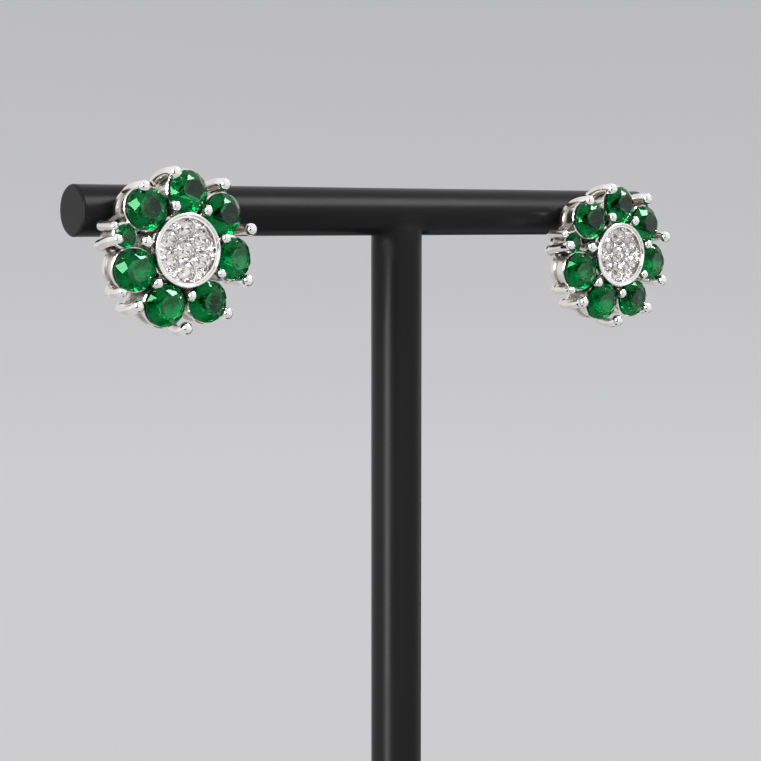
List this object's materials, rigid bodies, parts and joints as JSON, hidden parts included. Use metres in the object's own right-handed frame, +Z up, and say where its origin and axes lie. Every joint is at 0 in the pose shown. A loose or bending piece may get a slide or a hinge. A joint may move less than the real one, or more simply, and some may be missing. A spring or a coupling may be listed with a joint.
{
  "type": "pair of flower cluster stud earrings on a T-bar display stand",
  "caption": "Pair of flower cluster stud earrings, green round stones about a flat disc of white stones in silver claws, on the bar of a black T-shaped display stand.",
  "frame": {"origin": "on the table under the middle of the bar: bottom centre of the bounding box", "axes": "+X along the bar to the viewer's right, -Y the way the earrings face, +Z up"},
  "size_m": [0.0598, 0.05, 0.0934],
  "materials": {
    "black_coat": "satin black",
    "polished_silver": "polished",
    "green_stone": "polished, deep green",
    "white_stone": "polished, clear white"
  },
  "bodies": {
    "root": {"display_tee": "black_coat", "display_base": "black_coat", "left_setting": "polished_silver", "left_green_stone_1": "green_stone", "left_green_stone_2": "green_stone", "left_green_stone_3": "green_stone", "left_green_stone_4": "green_stone", "left_green_stone_5": "green_stone", "left_green_stone_6": "green_stone", "left_green_stone_7": "green_stone", "left_side_stone": "green_stone", "left_white_stone_1": "white_stone", "left_white_stone_2": "white_stone", "left_white_stone_3": "white_stone", "left_white_stone_4": "white_stone", "left_white_stone_5": "white_stone", "left_white_stone_6": "white_stone", "left_white_stone_7": "white_stone", "left_ear_back": "polished_silver", "right_setting": "polished_silver", "right_green_stone_1": "green_stone", "right_green_stone_2": "green_stone", "right_green_stone_3": "green_stone", "right_green_stone_4": "green_stone", "right_green_stone_5": "green_stone", "right_green_stone_6": "green_stone", "right_green_stone_7": "green_stone", "right_side_stone": "green_stone", "right_white_stone_1": "white_stone", "right_white_stone_2": "white_stone", "right_white_stone_3": "white_stone", "right_white_stone_4": "white_stone", "right_white_stone_5": "white_stone", "right_white_stone_6": "white_stone", "right_white_stone_7": "white_stone", "right_ear_back": "polished_silver"}
  },
  "joints": []
}
